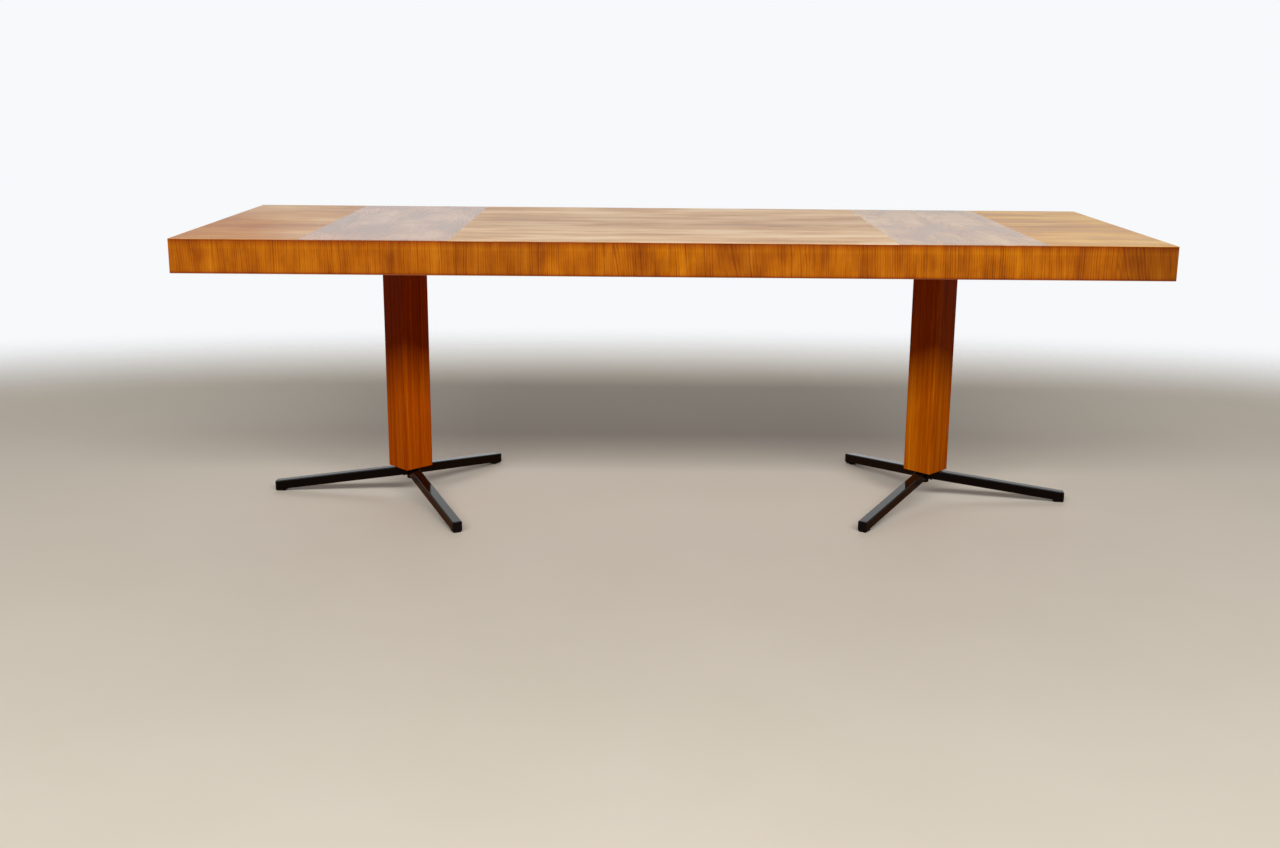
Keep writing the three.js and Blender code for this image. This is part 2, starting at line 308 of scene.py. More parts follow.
def weld_bead():
    """The weld between an arm and the hub: down one side, under the arm and up the other."""
    half_angle = math.asin((arm_side / 2 + bead_clearance) / hub_radius)
    top = arm_top_at_hub - bead_below_top
    bottom = arm_axis - arm_side / 2 - bead_below_arm
    side_steps = round((top - bottom) / bead_step)
    under_steps = round(2 * half_angle * hub_radius / bead_step)
    places = []
    for i in range(side_steps):
        places.append((half_angle, top - i * bead_step))
    for i in range(under_steps + 1):
        places.append((half_angle * (1 - 2 * i / under_steps), bottom))
    for i in reversed(range(side_steps)):
        places.append((-half_angle, top - i * bead_step))
    curve = bpy.data.curves.new("bead_line", "CURVE")
    curve.dimensions = "3D"
    curve.bevel_depth = bead_radius
    curve.bevel_resolution = 2
    curve.use_fill_caps = True
    line = curve.splines.new("POLY")
    line.points.add(len(places) - 1)
    for i, (point, (angle, height)) in enumerate(zip(line.points, places)):
        point.co = (hub_radius * math.cos(angle), hub_radius * math.sin(angle), height, 1)
        point.radius = 1 if i % 2 else bead_waist_share
    bead = bpy.data.objects.new("bead", curve)
    bpy.context.scene.collection.objects.link(bead)
    only(bead)
    bpy.ops.object.convert(target="MESH")
    bead = started("bead")
    out_of_edit()
    bpy.ops.object.shade_smooth()
    return bead


bead = weld_bead()
bpy.ops.object.select_all(action="DESELECT")
bead.select_set(True)
arm.select_set(True)
bpy.context.view_layer.objects.active = arm
bpy.ops.object.join()


def set_in_foot(first, ending, finish):
    """Turns copies of the first arm's piece to the six arms and clears it away."""
    for side, bearings in arm_bearings.items():
        for name, bearing in bearings.items():
            node = f"{side}_{name}_arm{ending}"
            piece = copied(first, f"{node}_finished")
            piece.rotation_euler.z = math.radians(bearing)
            piece.location.x = post_place[side]
            applied(piece)
            fitted(piece, node, finish)
    bpy.data.objects.remove(first)


set_in_foot(arm, "", lacquer)

# End caps. Black plastic mouldings pushed into the arms' open ends. Each has an upright flange
# with a rounded rim and a shallow sunk panel, a plug inside the tube, and under the tube a flat
# glide that the table stands on. The glide is set in a hair from the flange's face and corners.
glide_length = 17 * mm
glide_corner = 1.5 * mm
glide_inset = 0.1 * mm
glide_arris = 0.5 * mm
rim = 2.1 * mm
rim_radius = 0.5 * mm
panel_depth = 0.6 * mm
panel_corner = 1 * mm
plug_corner = 0.6 * mm
plug_length = 5 * mm
overrun = 1 * mm
near = 0.01 * mm
face_height = arm_axis - arm_reach * math.tan(arm_fall)


def black_plastic():
    material, shader, place = new_finish("moulded_black_plastic")
    grain = place.noise(1900, 3, 0.6)
    scuffs = place.noise(240, 5, 0.65).eased(0.55, 0.75)
    link(shader["Base Color"], (scuffs * 0.2).blended(rgb(9, 8, 10), rgb(58, 56, 56)))
    link(shader["Roughness"], 0.26 + scuffs * 0.2 + grain * 0.08)
    shader["Specular IOR Level"].default_value = 0.16
    link(shader["Normal"], grain.bump(0.2, 0.08 * mm))
    return material


def rounded_bar(name, side, corner, start, end):
    """A bar along X with rounded long edges, from one x to another."""
    bpy.ops.mesh.primitive_plane_add(size=side, rotation=(0, math.pi / 2, 0),
                                     location=(start, 0, 0))
    bar = started(name)
    bpy.ops.mesh.bevel(offset=corner, segments=6, affect="VERTICES")
    bpy.ops.mesh.select_all(action="SELECT")
    extrude(x=end - start)
    out_of_edit()
    return bar


plug_side = arm_side - 2 * (arm_wall + seat_gap)
cap = rounded_bar("first_cap", arm_side, arm_corner, -arm_side, arm_side)
plug = rounded_bar("plug", plug_side, plug_corner, -cap_thickness - plug_length, -cap_thickness / 2)
tube = rounded_bar("tube_space", arm_side + 2 * seat_gap, arm_corner + seat_gap,
                   -2 * glide_length, arm_side)
for bar in (cap, plug, tube):
    bar.rotation_euler.y = arm_fall
    bar.location.z = face_height
    applied(bar)
sawn(cap, 0, 1)
sawn(cap, -cap_thickness, -1)
sawn(tube, -cap_thickness / 2, 1)
only(cap)
started("first_cap")
pick("EDGE", lambda edge: all(abs(v.co.x) < near for v in edge.verts))
bpy.ops.mesh.bevel(offset=rim_radius, segments=3)
out_of_edit()
combined(cap, plug, "UNION")

glide_width = arm_side - 2 * (arm_corner + glide_inset)
bpy.ops.mesh.primitive_plane_add(size=1, location=(-(glide_length + glide_inset) / 2, 0, 0))
bpy.context.object.scale = (glide_length - glide_inset, glide_width, 1)
glide = started("glide")
bpy.ops.mesh.bevel(offset=glide_corner, segments=6, affect="VERTICES")
bpy.ops.mesh.select_all(action="SELECT")
extrude(z=tip_height + arm_side / 2)
out_of_edit()
started("glide")
pick("EDGE", lambda edge: all(v.co.z < near for v in edge.verts))
bpy.ops.mesh.bevel(offset=glide_arris, segments=3)
out_of_edit()
combined(glide, tube, "DIFFERENCE")
combined(cap, glide, "UNION")
panel = rounded_bar("panel_cut", arm_side - 2 * rim, panel_corner, -panel_depth, overrun)
panel.location.z = face_height
applied(panel)
combined(cap, panel, "DIFFERENCE")
cap.location.x = arm_reach
applied(cap)
smoothed(cap, 30)
set_in_foot(cap, "_end_cap", black_plastic())

# Hubs. A short length of thick round tube between each foot's three arms, lacquered with them.
# The pedestal's tie bolt passes up through it.
hub_bottom = 35.2 * mm
hub_height = 15.3 * mm
hub_arris = 0.6 * mm
bore_radius = 4.5 * mm
sharp_angle = math.radians(60)


def ring(name, outer, inner, bottom, height, rounding):
    """A turned ring with slightly rounded rims."""
    bpy.ops.mesh.primitive_cylinder_add(
        vertices=96, radius=outer, depth=height, end_fill_type="NOTHING",
        location=(0, 0, bottom + height / 2),
    )
    made = bpy.context.object
    applied(made)
    modified(made, "SOLIDIFY", thickness=outer - inner, offset=-1, use_even_offset=True)
    started(name)
    pick("EDGE", lambda edge: edge.calc_face_angle() > sharp_angle
         and math.hypot(*edge.verts[0].co.xy) > (outer + inner) / 2)
    bpy.ops.mesh.bevel(offset=rounding, segments=3)
    out_of_edit()
    smoothed(made)
    return made


def set_under_posts(first, ending, finish):
    """Copies a piece made on the Z axis to both pedestals and clears it away."""
    for side, x in post_place.items():
        node = f"{side}_{ending}"
        piece = copied(first, f"{node}_finished")
        piece.location.x = x
        applied(piece)
        fitted(piece, node, finish)
    bpy.data.objects.remove(first)


hub = ring("first_hub", hub_radius, bore_radius, hub_bottom, hub_height, hub_arris)
set_under_posts(hub, "hub", lacquer)

# Bolt washers and tie bolts. A long M8 hexagon bolt clamps each post between its foot and the
# plate under the top. Only its chamfered head and the washer show, below the hub.
washer_radius = 8 * mm
washer_thickness = 1.6 * mm
washer_arris = 0.25 * mm
bolt_radius = 4 * mm
head_across_flats = 13 * mm
head_height = 5.6 * mm
chamfer_size = 1.15 * mm
chamfer_margin = 0.1 * mm
shank_overlap = 1 * mm
bolt_end = 428.5 * mm


def blackened_steel():
    material, shader, place = new_finish("blackened_steel")
    turning = place.noise(900, 3, 0.6, stretch=(1, 1, 6))
    worn = place.noise(160, 5, 0.6).eased(0.5, 0.75)
    link(shader["Base Color"], worn.blended(rgb(30, 28, 27), rgb(66, 62, 58)))
    shader["Metallic"].default_value = 1.0
    link(shader["Roughness"], 0.34 + worn * 0.2 + turning * 0.1)
    link(shader["Normal"], turning.bump(0.1, 0.05 * mm))
    return material


dark_steel = blackened_steel()
washer = ring(
    "first_washer", washer_radius, bore_radius, hub_bottom - washer_thickness,
    washer_thickness, washer_arris,
)
set_under_posts(washer, "bolt_washer", dark_steel)

head_bottom = hub_bottom - washer_thickness - head_height
head_corner = head_across_flats / math.sqrt(3)
head_middle = head_bottom + head_height / 2
bpy.ops.mesh.primitive_cylinder_add(
    vertices=6, radius=head_corner, depth=head_height, location=(0, 0, head_middle)
)
bolt = bpy.context.object
applied(bolt)
bpy.ops.mesh.primitive_cylinder_add(
    vertices=96, radius=head_corner + chamfer_margin, depth=head_height + 2 * chamfer_margin,
    location=(0, 0, head_middle + chamfer_margin),
)
chamfer = started("head_chamfer")
pick("EDGE", lambda edge: all(v.co.z < head_bottom + near for v in edge.verts))
bpy.ops.mesh.bevel(offset=chamfer_size, segments=1)
out_of_edit()
combined(bolt, chamfer, "INTERSECT")
bpy.ops.mesh.primitive_cylinder_add(
    vertices=48, radius=bolt_radius, depth=bolt_end - head_bottom - shank_overlap,
    location=(0, 0, (bolt_end + head_bottom + shank_overlap) / 2),
)
combined(bolt, bpy.context.object, "UNION")
smoothed(bolt, 25)
set_under_posts(bolt, "tie_bolt", dark_steel)

# Posts. Four boards mitred and glued along their arrises make each hollow square post, turned
# so that one arris faces the front. Their grain runs up the post. A joint between two leaves of
# the wood falls on each post's front arris. The arrises are lightly sanded.
post_side = 53 * mm
board_thickness = 12 * mm
post_bottom = 50.5 * mm
post_top = 416 * mm
post_arris = 0.8 * mm
post_half_diagonal = post_side / math.sqrt(2)
leaves_between_posts = 22
glue_line_shift = 4.5 * mm
glue_line_width = 1.1 * mm
glue_line_height = 86 * mm


def wood(name, grain, across, tones, seed, leaf_width, seam=0.0, heart=(0.0, 0.1, 0.03), arch=0.1,
         year_width=4 * mm, lines=0.3, streaks=0.4, streak_size=(0.33, 0.015), clouds=0.4,
         cloud_size=(0.2, 0.05), bands=0.0, band_size=(0.4, 0.03), fibres=0.3, pores=0.1,
         leaf_change=0.2, bleached=(1, 1, 1, 1), bleach=0.0, rough=0.4, spread=0.12, sheen=0.5):
    """Boards or veneer leaves laid side by side, each cut from another part of a trunk.

    grain and across are the axes along and across the growth lines. tones are four colours from
    dark to light. leaf_width is a leaf's width, and seam is the place of a joint between two.
    heart gives how near and how far beside a leaf the trunk's heart lies, and how deep under
    it. arch is how fast the growth lines close towards it. bands are broad stripes that follow
    the growth lines. The rest are the strengths and sizes of each mark of the wood, and the
    gloss of its lacquer.
    """
    material, shader, place = new_finish(name)
    split = [place.node("ShaderNodeSeparateXYZ", {}, {0: place}, i) for i in range(3)]
    along, over = split["XYZ".index(grain)], split["XYZ".index(across)]
    own = (seed * 1.7, seed * 2.3, seed * 3.1)

    def stretched(with_grain, over_grain, detail, roughness, shift=0.0):
        stretch = tuple(with_grain if axis == grain else over_grain for axis in "XYZ")
        return place.noise(1, detail, roughness, stretch, tuple(own[i] + shift for i in range(3)))

    def chosen(number):
        return place.node("ShaderNodeTexWhiteNoise", {"noise_dimensions": "1D"}, {"W": number})

    nearest, farthest, deep = heart
    leaf_place = (over - seam) / leaf_width + 20
    leaf = leaf_place.math("FLOOR")
    chances = [chosen(leaf + seed * 7.7 + i * 17.3) for i in range(4)]
    offset, depth_chance, tilt, tone_chance = chances
    bend = stretched(2.2, 7, 3, 0.55) - 0.5
    waver = stretched(16, 70, 2, 0.5, 5) - 0.5
    beside = (leaf_place - leaf - 0.5) * leaf_width + bend * 0.03 + nearest
    beside = beside + offset * (farthest - nearest)
    below = deep * (1 + depth_chance) + along * (tilt - 0.5) * arch + waver * 0.003
    from_heart = (beside * beside + below * below).math("SQRT")
    count = from_heart / year_width + waver * 0.5
    year = count.math("FLOOR")
    season = count - year
    rich = chosen(year + leaf * 41)
    latewood = season.eased(0.3, 0.85) * (1 - season.eased(0.85, 1)) * (0.2 + rich * rich)

    streak = stretched(1 / streak_size[0], 1 / streak_size[1], 3, 0.6, 1) - 0.5
    cloud = stretched(1 / cloud_size[0], 1 / cloud_size[1], 3, 0.55, 2) - 0.5
    band_place = {0: from_heart / band_size[1], 1: along / band_size[0], 2: leaf * 9.1 + seed}
    band = place.node("ShaderNodeCombineXYZ", {}, band_place).noise(1, 2, 0.5) - 0.5
    fibre = stretched(28, 900, 4, 0.65, 3) - 0.5
    pore = stretched(130, 2300, 2, 0.6, 4).eased(0.58, 0.7)
    light = (
        0.55 + streak * streaks + cloud * clouds + band * bands + fibre * fibres
        + (tone_chance - 0.5) * leaf_change - latewood * lines - pore * pores
    )
    stops = list(zip((0.0, 0.35, 0.6, 1.0), tones))
    colour = light.node("ShaderNodeValToRGB", {"stops": stops}, {0: light})
    if bleach:
        dry = stretched(5, 19, 3, 0.6, 6).eased(0.42, 0.72) * bleach
        colour = dry.blended(colour, bleached)
    link(shader["Base Color"], colour)
    link(shader["Roughness"], rough + (fibre + cloud + streak) * spread + pore * 0.1)
    shader["Specular IOR Level"].default_value = sheen
    height = fibre * 0.4 - pore - latewood * 0.25
    link(shader["Normal"], height.bump(0.25, 0.06 * mm))
    return material


def toned(finish, centre, reach, shade, dulled=0.0):
    """Shades the wood softly about a place, and dulls its lacquer, as use and old polish do."""
    tree = finish.node_tree
    shader = tree.nodes["Principled BSDF"].inputs
    base, gloss = shader["Base Color"], shader["Roughness"]
    colour = Socket(tree, base.links[0].from_socket)
    rough = Socket(tree, gloss.links[0].from_socket)
    place = colour.node("ShaderNodeTexCoord", {}, {}, "Object")
    from_centre = {
        "Vector": place, "Location": tuple(-c / r for c, r in zip(centre, reach)),
        "Scale": tuple(1 / r for r in reach),
    }
    away = place.node("ShaderNodeMapping", {}, from_centre)
    away = away.node("ShaderNodeVectorMath", {"operation": "LENGTH"}, {0: away}, 1)
    mask = 1 - (away + place.noise(9, 3, 0.6) * 0.6).eased(0.75, 1.35)
    link(base, mask.blended(colour, shade, "MULTIPLY"))
    if dulled:
        link(gloss, rough + mask * dulled)


post_tones = {
    "left": (rgb(112, 34, 1), rgb(159, 64, 1), rgb(185, 83, 2), rgb(214, 120, 14)),
    "right": (rgb(110, 38, 1), rgb(161, 74, 1), rgb(190, 96, 2), rgb(220, 137, 18)),
}
post_leaf = (post_place["right"] - post_place["left"]) / leaves_between_posts
post_woods = {}
for side, tones in post_tones.items():
    post_woods[side] = wood(
        f"{side}_post_wood", "Z", "X", tones, 3, leaf_width=post_leaf, seam=post_place["right"],
        heart=(0.03, 0.16, 0.03), arch=0.07, year_width=1.9 * mm,
        lines=0.17, streaks=1.1, streak_size=(0.4, 0.006), clouds=0.6, cloud_size=(0.25, 0.02),
        fibres=0.5, pores=0.1, leaf_change=0.15, rough=0.36, sheen=0.02,
    )

glue_line = (post_place["right"] + glue_line_shift, glue_line_shift - post_half_diagonal,
             glue_line_height)
toned(post_woods["right"], glue_line, (glue_line_width, 0.02, 0.04), (1.35, 1.6, 5, 1))


def outer_arris(edge):
    """True for the post's upright outer edges and for those round its foot."""
    first, last = [v.co for v in edge.verts]
    outside = all(math.hypot(*end.xy) > post_half_diagonal - near for end in (first, last))
    upright = abs(first.z - last.z) > near
    return outside and edge.calc_face_angle() > sharp_angle and (
        upright or first.z < post_bottom + near)


bpy.ops.mesh.primitive_plane_add(size=post_side, rotation=(0, 0, math.pi / 4),
                                 location=(0, 0, post_bottom))
post = started("whole_post")
extrude(z=post_top - post_bottom)
pick("FACE", lambda face: abs(face.normal.z) > 0.9)
bpy.ops.mesh.delete(type="FACE")
out_of_edit()
modified(post, "SOLIDIFY", thickness=board_thickness, offset=-1, use_even_offset=True)
started("whole_post")
pick("EDGE", outer_arris)
bpy.ops.mesh.bevel(offset=post_arris, segments=4)
out_of_edit()

quarters = {
    "back_right": (1, 1), "back_left": (-1, 1), "front_left": (-1, -1), "front_right": (1, -1),
}
for quarter, (x_way, y_way) in quarters.items():
    board = copied(post, "board")
    only(board)
    started("board")
    for normal in ((x_way, 0, 0), (0, y_way, 0)):
        bpy.ops.mesh.select_all(action="SELECT")
        bpy.ops.mesh.bisect(plane_co=(0, 0, 0), plane_no=normal, use_fill=True, clear_inner=True)
    out_of_edit()
    smoothed(board)
    for side, x in post_place.items():
        node = f"{side}_post_board_{quarter}"
        placed = copied(board, f"{node}_finished")
        placed.location.x = x
        applied(placed)
        fitted(placed, node, post_woods[side])
    bpy.data.objects.remove(board)
bpy.data.objects.remove(post)

# Post plugs. Softwood blocks glued into the post's ends to centre the tie bolt. They are out of
# sight, as are the top's core blocks, rails and panels, so the frame's own shapes stay.
core_tones = (rgb(150, 118, 78), rgb(186, 154, 108), rgb(208, 180, 134), rgb(222, 200, 160))
core_wood = wood(
    "core_wood", "X", "Y", core_tones, 1, leaf_width=0.09, lines=0.35, streaks=0.3, clouds=0.3,
    fibres=0.25, pores=0.02, leaf_change=0.3, rough=0.62, spread=0.1, sheen=0.3,
)


def keep(node, finish):
    """Gives a node that keeps the frame's own shape its material."""
    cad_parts[node].material_slots[0].material = finish


for side in post_place:
    keep(f"{side}_post_foot_plug", core_wood)
    keep(f"{side}_post_top_plug", core_wood)
for node in ("upper_panel", "lower_panel", "front_rail", "back_rail", "left_end_rail",
             "right_end_rail", "left_mounting_block", "right_mounting_block"):
    keep(node, core_wood)

# Plates, their screws and the bolt's nut. A steel plate lies between each post and the top,
# held by four countersunk cross-head screws and by the tie bolt's nut, which is let into the
# block above it.
plate_side = 120 * mm
plate_thickness = 4 * mm
plate_corner = 8 * mm
plate_arris = 0.4 * mm
plate_bore_depth = 20 * mm
screw_inset = 14 * mm
screw_clearance = 0.2 * mm
screw_head = 4.2 * mm
screw_head_height = 2.6 * mm
screw_shank = 2.1 * mm
screw_length = 30 * mm
screw_point = 5 * mm
screw_tip_share = 0.08
first_screw_turn = math.radians(20)
next_screw_turn = math.radians(55)
slot_width = 1.1 * mm
slot_length = 5 * mm
slot_depth = 1.6 * mm
slot_foot_share = 0.45


def plain_steel():
    material, shader, place = new_finish("plain_steel")
    turning = place.noise(900, 3, 0.6, stretch=(1, 1, 6))
    tarnish = place.noise(160, 5, 0.6).eased(0.42, 0.7)
    link(shader["Base Color"], tarnish.blended(rgb(146, 146, 144), rgb(92, 88, 84)))
    shader["Metallic"].default_value = 1.0
    link(shader["Roughness"], 0.3 + tarnish * 0.25 + turning * 0.1)
    link(shader["Normal"], turning.bump(0.1, 0.05 * mm))
    return material


def screw_solid(grow):
    """A countersunk screw with its point up and its head's face at z = 0."""
    bpy.ops.mesh.primitive_circle_add(vertices=48, radius=screw_head + grow, fill_type="NGON",
                                      location=(0, 0, -grow))
    solid = started("screw")
    extrude(z=grow)
    extrude(z=screw_head_height)
    share = (screw_shank + grow) / (screw_head + grow)
    bpy.ops.transform.resize(value=(share, share, 1))
    extrude(z=screw_length - screw_point - screw_head_height)
    extrude(z=screw_point)
    bpy.ops.transform.resize(value=(screw_tip_share, screw_tip_share, 1))
    out_of_edit()
    return solid


steel = plain_steel()
screw = screw_solid(0)
for turn in (0, math.pi / 2):
    bpy.ops.mesh.primitive_cube_add(size=1, rotation=(0, 0, turn),
                                    scale=(slot_length, slot_width, 2 * slot_depth))
    started("cross_slot")
    pick("FACE", lambda face: face.normal.z > 0.9)
    bpy.ops.transform.resize(value=(slot_foot_share, slot_foot_share, 1))
    out_of_edit()
    combined(screw, bpy.context.object, "DIFFERENCE")
smoothed(screw, 30)

bpy.ops.mesh.primitive_plane_add(size=plate_side, location=(0, 0, post_top))
plate = started("first_plate")
bpy.ops.mesh.bevel(offset=plate_corner, segments=10, affect="VERTICES")
bpy.ops.mesh.select_all(action="SELECT")
extrude(z=plate_thickness)
out_of_edit()
started("first_plate")
pick("EDGE", lambda edge: edge.calc_face_angle() > sharp_angle
     and all(v.co.z < post_top + near for v in edge.verts))
bpy.ops.mesh.bevel(offset=plate_arris, segments=2)
out_of_edit()
bpy.ops.mesh.primitive_cylinder_add(vertices=48, radius=bore_radius, depth=plate_bore_depth,
                                    location=(0, 0, post_top))
applied(bpy.context.object)
combined(plate, bpy.context.object, "DIFFERENCE")
screw_reach = plate_side / 2 - screw_inset
screw_places = [(1, 1), (-1, 1), (-1, -1), (1, -1)]
for x_way, y_way in screw_places:
    sink = screw_solid(screw_clearance)
    sink.location = (x_way * screw_reach, y_way * screw_reach, post_top)
    applied(sink)
    combined(plate, sink, "DIFFERENCE")
smoothed(plate, 30)
set_under_posts(plate, "top_plate", steel)
for i, (x_way, y_way) in enumerate(screw_places):
    one = copied(screw, "placed_screw")
    one.rotation_euler.z = first_screw_turn + next_screw_turn * i
    one.location = (x_way * screw_reach, y_way * screw_reach, post_top)
    applied(one)
    set_under_posts(one, f"plate_screw_{i + 1}", steel)
bpy.data.objects.remove(screw)
for side in post_place:
    keep(f"{side}_plate_nut", steel)

# Edge bands. Veneer laid with its grain upright round the top's four edges, from leaves of
# different planks side by side. The front and back ones cover the ends of the short ones.
arris = 0.45 * mm
half_length = 750 * mm
half_width = 262.5 * mm
top_face = 472 * mm
underside = 420 * mm


def on_outline(place):
    """True for a place on the top's outline as seen from above."""
    return abs(abs(place.x) - half_length) < near or abs(abs(place.y) - half_width) < near


def at_corner(place):
    """True for a place on one of the top's four upright corners."""
    return abs(abs(place.x) - half_length) < near and abs(abs(place.y) - half_width) < near


def to_sand(edge, height):
    """True for an edge of the outline at that height, and for an upright one at a corner."""
    first, last = [v.co for v in edge.verts]
    flat = all(abs(end.z - height) < near for end in (first, last))
    return (flat and on_outline((first + last) / 2)) or (at_corner(first) and at_corner(last))


def sheet_piece(node, sanded_height):
    """A flat piece in its node's box, with its outer arris at that height and the table's
    upright corners sanded round."""
    low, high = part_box(node)
    bpy.ops.mesh.primitive_cube_add(size=1, location=(low + high) / 2, scale=high - low)
    piece = started(f"{node}_finished")
    pick("EDGE", lambda edge: to_sand(edge, sanded_height))
    if any(edge.select for edge in bmesh.from_edit_mesh(piece.data).edges):
        bpy.ops.mesh.bevel(offset=arris, segments=3)
    out_of_edit()
    smoothed(piece)
    return piece


edge_tones = (rgb(110, 47, 3), rgb(161, 82, 5), rgb(190, 107, 9), rgb(218, 140, 30))


def edge_veneer(name, across, seed):
    """Upright veneer, with painted shade that darkens it towards both arrises and leaves it palest
    a little below the top.
    """
    finish = wood(
        name, "Z", across, edge_tones, seed, leaf_width=0.15, seam=0.06, heart=(0.09, 0.24, 0.03),
        arch=0.4, year_width=3.4 * mm, lines=0.28, streaks=0.4, streak_size=(0.12, 0.006),
        clouds=0.8, cloud_size=(0.06, 0.04), bands=0.55, band_size=(0.12, 0.018), fibres=0.45,
        pores=0.12, leaf_change=0.08, rough=0.38, sheen=0.12,
    )
    tree = finish.node_tree
    shader = tree.nodes["Principled BSDF"].inputs
    grain_colour = Socket(tree, shader["Base Color"].links[0].from_socket)
    height = grain_colour.node("ShaderNodeTexCoord", {}, {}, "Object")
    height = height.node("ShaderNodeSeparateXYZ", {}, {0: height}, 2)
    share = (height - underside) / (top_face - underside)
    # Painted shade by height: darker towards the top and bottom arrises, palest a little below the
    # top.
    arris_painted_shades = ((0.0, 0.6), (0.035, 0.66), (0.075, 0.94), (0.15, 1.0), (0.7, 1.0), (0.76, 1.06),
              (0.8, 1.03), (0.87, 0.93), (0.93, 0.82), (0.96, 0.64), (1.0, 0.62))
    stops = [(position, (shade, shade * shade, shade, 1)) for position, shade in arris_painted_shades]
    shade = share.node("ShaderNodeValToRGB", {"stops": stops}, {0: share})
    painted_shade_mix = grain_colour.node(
        "ShaderNodeMix", {"data_type": "RGBA", "blend_type": "MULTIPLY"},
        {0: 1.0, 6: grain_colour, 7: shade}, 2,
    )
    link(shader["Base Color"], painted_shade_mix)
    return finish


edge_long = edge_veneer("edge_veneer", "X", 2)
edge_short = edge_veneer("edge_veneer_ends", "Y", 5)
patch_height = 450 * mm
patch_reach = 100 * mm
front_patches = {
    -0.27: (0.09, (0.88, 0.86, 1, 1)),
    0.0: (0.055, (1.17, 1.28, 1.1, 1)),
    0.1: (0.055, (0.83, 0.78, 0.9, 1)),
    0.45: (0.11, (1.18, 1.3, 1.1, 1)),
    0.725: (0.075, (0.64, 0.6, 0.62, 1)),
}
for x, (wide, shade) in front_patches.items():
    toned(edge_long, (x, -half_width, patch_height), (wide, patch_reach, patch_reach), shade)
for place_name, finish in (("front", edge_long), ("back", edge_long), ("left", edge_short),
                           ("right", edge_short)):
    node = f"{place_name}_edge_band"
    fitted(sheet_piece(node, 0), node, finish)

# Backing veneer. One plain sheet under the core. It is a copy of the frame's own sheet, without
# the frame's marks, because of its holes for the screws and nuts. Its lower arris is sanded.
backing_tones = (rgb(104, 50, 14), rgb(146, 82, 30), rgb(172, 106, 46), rgb(194, 132, 70))
backing_wood = wood(
    "backing_veneer_wood", "X", "Y", backing_tones, 7, leaf_width=0.21, lines=0.35, streaks=0.4,
    clouds=0.6, leaf_change=0.15, rough=0.5, spread=0.1, sheen=0.4,
)
backing = copied(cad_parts["backing_veneer"], "backing_veneer_finished")
for key in list(backing.keys()):
    del backing[key]
backing.parent = None
only(backing)
started("backing_veneer_finished")
bpy.ops.mesh.remove_doubles(threshold=merge_distance)
bpy.ops.mesh.dissolve_limited(angle_limit=math.radians(1))
pick("EDGE", lambda edge: to_sand(edge, underside))
bpy.ops.mesh.bevel(offset=arris, segments=3)
out_of_edit()
smoothed(backing)
fitted(backing, "backing_veneer", backing_wood)

# Face leaves. The top's show side: two bands of veneer laid across the table over the posts,
# and three leaves along it. All are satin lacquered, and their outer arris is sanded round.
bleached_wood = rgb(224, 186, 140)
cross_band_width = 222 * mm
leaf_finishes = {
    "left_end_leaf": (rgb(178, 114, 52), rgb(195, 137, 74), rgb(208, 153, 94), rgb(226, 184, 134)),
    "centre_leaf": (rgb(176, 118, 50), rgb(204, 150, 84), rgb(223, 178, 124), rgb(237, 202, 160)),
    "right_end_leaf": (rgb(172, 106, 8), rgb(200, 136, 24), rgb(218, 158, 48), rgb(234, 184, 92)),
}
left_front = (-half_length, -half_width, top_face)
for i, (node, tones) in enumerate(leaf_finishes.items()):
    leaf_wood = wood(
        f"{node}_veneer", "X", "Y", tones, 11 + 2 * i, leaf_width=half_width, seam=-0.125,
        heart=(0.0, 0.1, 0.035), arch=0.09, year_width=4.2 * mm, lines=0.4, streaks=0.8,
        streak_size=(0.3, 0.012), clouds=2.5, cloud_size=(0.2, 0.07), bands=1.1,
        band_size=(0.3, 0.03), fibres=0.5, pores=0.14, leaf_change=0.1, bleached=bleached_wood,
        bleach=0.2, spread=0.1, sheen=0.19,
    )
    if node == "centre_leaf":
        toned(leaf_wood, (0, 0.012, top_face), (0.7, 0.15, 0.1), (0.82, 0.77, 0.68, 1))
    if node == "left_end_leaf":
        toned(leaf_wood, left_front, (0.21, 0.47, 0.1), (0.81, 0.62, 0.36, 1), 0.1)
    fitted(sheet_piece(node, top_face), node, leaf_wood)
cross_finishes = {
    "left": (rgb(140, 92, 56), rgb(166, 116, 80), rgb(185, 136, 99), rgb(206, 162, 130)),
    "right": (rgb(148, 92, 36), rgb(174, 118, 58), rgb(194, 140, 78), rgb(214, 168, 112)),
}
for i, (side, tones) in enumerate(cross_finishes.items()):
    cross_wood = wood(
        f"{side}_cross_band_veneer", "Y", "X", tones, 21 + 2 * i, leaf_width=cross_band_width / 2,
        seam=post_place[side], heart=(0.0, 0.05, 0.05), arch=0.1, year_width=3.4 * mm, lines=0.3,
        streaks=0.9, clouds=2.6, cloud_size=(0.14, 0.06), bands=1.2, band_size=(0.3, 0.02),
        fibres=0.5, pores=0.14, leaf_change=0.1, bleached=bleached_wood, bleach=0.2, rough=0.24,
        spread=0.1, sheen=0.36,
    )
    if side == "left":
        toned(cross_wood, left_front, (0.5, 0.25, 0.1), (0.93, 0.72, 0.5, 1))
    else:
        right_back = (post_place[side], half_width, top_face)
        toned(cross_wood, right_back, (0.3, 0.16, 0.1), (0.85, 0.85, 0.85, 1))
    node = f"{side}_cross_band"
    fitted(sheet_piece(node, top_face), node, cross_wood)

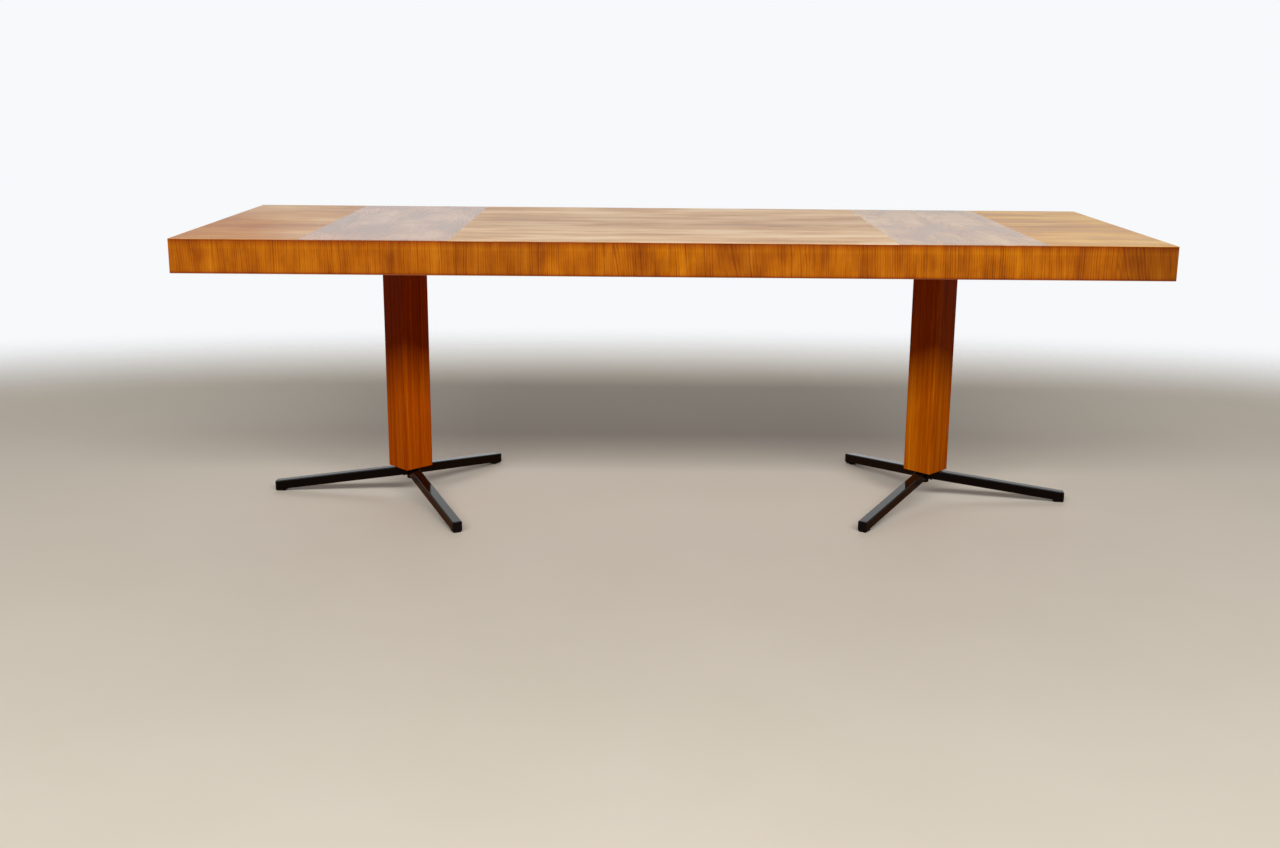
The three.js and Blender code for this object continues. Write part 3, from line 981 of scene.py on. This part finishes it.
# Studio floor. A pale floor that fades into the white background all round. It is darker and
# warmer to light that bounces off it, so that the lacquered arms and the posts stay dark below.
floor_size = 24
fade_from, fade_to = 1.25, 2.0
bpy.ops.mesh.primitive_grid_add(x_subdivisions=2, y_subdivisions=2, size=floor_size)
floor = bpy.context.object
floor.name = "floor"
floor_finish, shader, place = new_finish("pale_floor")
tree = floor_finish.node_tree
seen = tree.nodes.new("ShaderNodeLightPath")
shown = (Socket(tree, seen.outputs["Is Camera Ray"])
         + Socket(tree, seen.outputs["Is Transmission Ray"])).math("MINIMUM", 1)
pale = place.noise(3, 3).eased(0.3, 0.7).blended(rgb(214, 204, 188), rgb(217, 207, 192))
link(shader["Base Color"], shown.blended(rgb(150, 94, 50), pale))
shader["Roughness"].default_value = 0.6
shader["Specular IOR Level"].default_value = 0.2
clear = place.node("ShaderNodeBsdfTransparent", {}, {})
spread = {"Vector": place, "Location": (0, 0.35, 0), "Scale": (0.55, 1, 1)}
spread = place.node("ShaderNodeMapping", {}, spread)
reach = place.node("ShaderNodeVectorMath", {"operation": "LENGTH"}, {0: spread}, 1)
body = Socket(tree, tree.nodes["Principled BSDF"].outputs[0])
fade = reach.eased(fade_from, fade_to)
mixed = place.node("ShaderNodeMixShader", {}, {0: fade, 1: body, 2: clear})
tree.links.new(mixed.output, tree.nodes["Material Output"].inputs["Surface"])
floor.data.materials.append(floor_finish)

# Studio light. A large soft lamp above and before the table, a fainter one behind it, and a
# white background that the camera and glossy surfaces see at full strength.
def lamp(name, place, target, size, power):
    """An oblong area lamp, turned towards its target."""
    data = bpy.data.lights.new(name, "AREA")
    data.shape = "RECTANGLE"
    data.size, data.size_y = size
    data.energy = power
    lamp_object = bpy.data.objects.new(name, data)
    lamp_object.location = place
    ahead = Vector(target) - Vector(place)
    lamp_object.rotation_euler = ahead.to_track_quat("-Z", "Y").to_euler()
    bpy.context.scene.collection.objects.link(lamp_object)


lamp("front_softbox", place=(0, -2.65, 2.35), target=(0, 0, 0.25), size=(5.2, 0.75), power=138)
lamp("back_softbox", place=(0, 2.3, 1.95), target=(0, 0, 0.2), size=(3.6, 1.2), power=15)

fill_strength = 0.07
world = bpy.data.worlds.new("white_studio")
bpy.context.scene.world = world
world.use_nodes = True
tree = world.node_tree
seen = tree.nodes.new("ShaderNodeLightPath")
camera_ray = Socket(tree, seen.outputs["Is Camera Ray"])
glossy_ray = Socket(tree, seen.outputs["Is Glossy Ray"])
through_ray = Socket(tree, seen.outputs["Is Transmission Ray"])
shown = (camera_ray + glossy_ray + through_ray).math("MINIMUM", 1)
background = tree.nodes["Background"].inputs
link(background["Color"], shown.blended(rgb(255, 253, 250), rgb(247, 249, 251)))
link(background["Strength"], fill_strength + shown * (1 - fill_strength))

# Camera. It stands at the height and angle of the photograph, a little rolled. The focal length
# and the shift of the lens are in pixels of the photograph's width.
picture_width = 1280
sensor_width = 36
focal = 1384.8613
view_from = Vector((-40.4762, -2310.9137, 720.7459)) * mm
yaw, pitch, roll = 0.0025, 0.2299, -0.0085
lens_shift = (8.7176, -30.0)
camera_data = bpy.data.cameras.new("camera")
camera_data.sensor_width = sensor_width
camera_data.lens = focal / picture_width * sensor_width
camera_data.shift_x = -lens_shift[0] / picture_width
camera_data.shift_y = lens_shift[1] / picture_width
camera = bpy.data.objects.new("camera", camera_data)
level_ahead = Vector((math.sin(yaw), math.cos(yaw), 0))
forward = level_ahead * math.cos(pitch) - Vector((0, 0, math.sin(pitch)))
level_right = Vector((math.cos(yaw), -math.sin(yaw), 0))
level_down = forward.cross(level_right)
picture_right = level_right * math.cos(roll) + level_down * math.sin(roll)
picture_down = level_down * math.cos(roll) - level_right * math.sin(roll)
turn = Matrix((picture_right, -picture_down, -forward)).transposed()
camera.matrix_world = Matrix.Translation(view_from) @ turn.to_4x4()
bpy.context.scene.collection.objects.link(camera)
bpy.context.scene.camera = camera
bpy.context.scene.view_settings.view_transform = "Standard"

# The scene's placements are brought up to date.
bpy.context.view_layer.update()
